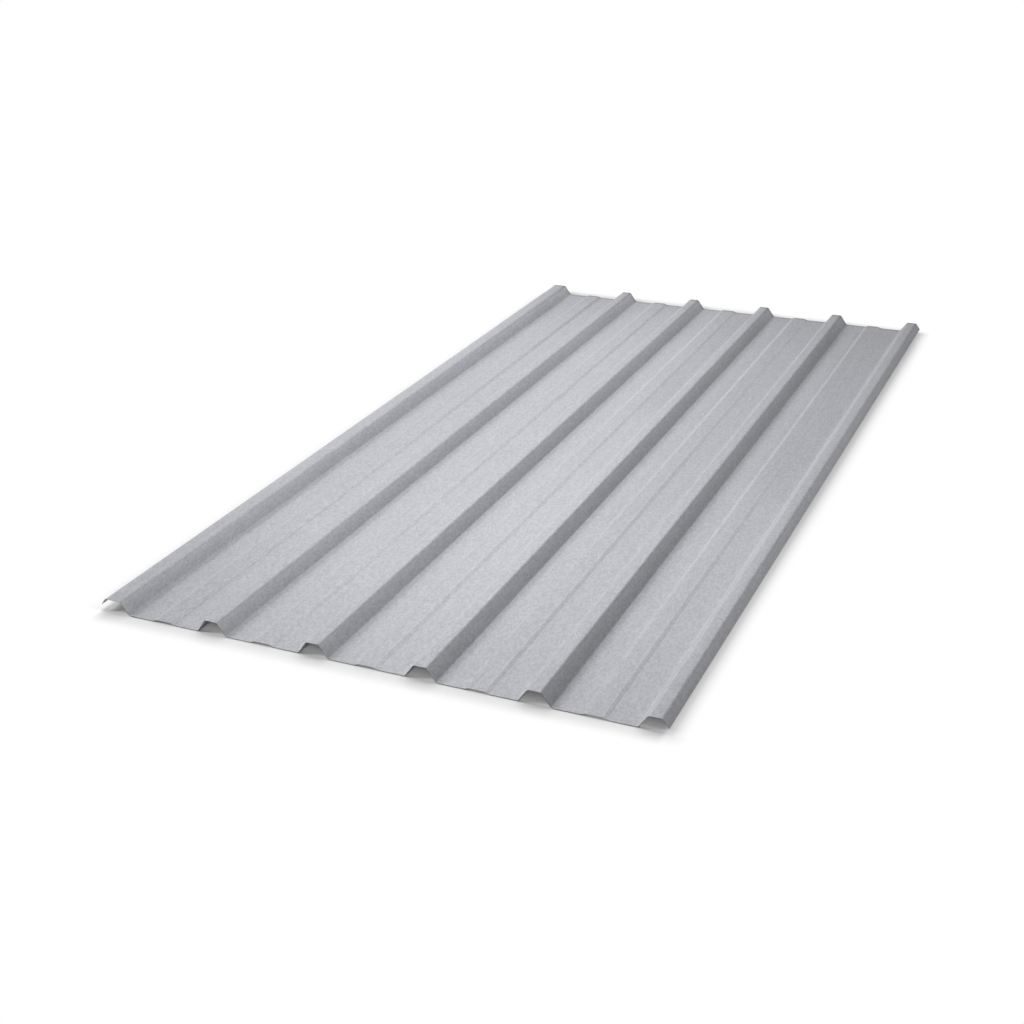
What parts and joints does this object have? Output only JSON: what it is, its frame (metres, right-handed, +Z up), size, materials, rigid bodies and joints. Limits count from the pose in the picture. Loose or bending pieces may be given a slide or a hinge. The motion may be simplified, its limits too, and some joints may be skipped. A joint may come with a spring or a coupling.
{
  "type": "trapezoidal ribbed roofing sheet",
  "caption": "Long flat metal roofing sheet with trapezoidal ribs, a low raised swage in each pan, and a nesting rib along each side for lapping.",
  "frame": {"origin": "centre of the sheet's footprint, in the plane that the undersides of the pans rest on", "axes": "+X across the ribs, from the overlap edge to the underlap edge; +Y along the ribs; +Z up, out of the weather face"},
  "size_m": [1.0724, 2.135, 0.0245],
  "materials": {
    "coated_steel": "satin"
  },
  "bodies": {
    "root": {"ribbed_sheet": "coated_steel"}
  },
  "joints": []
}
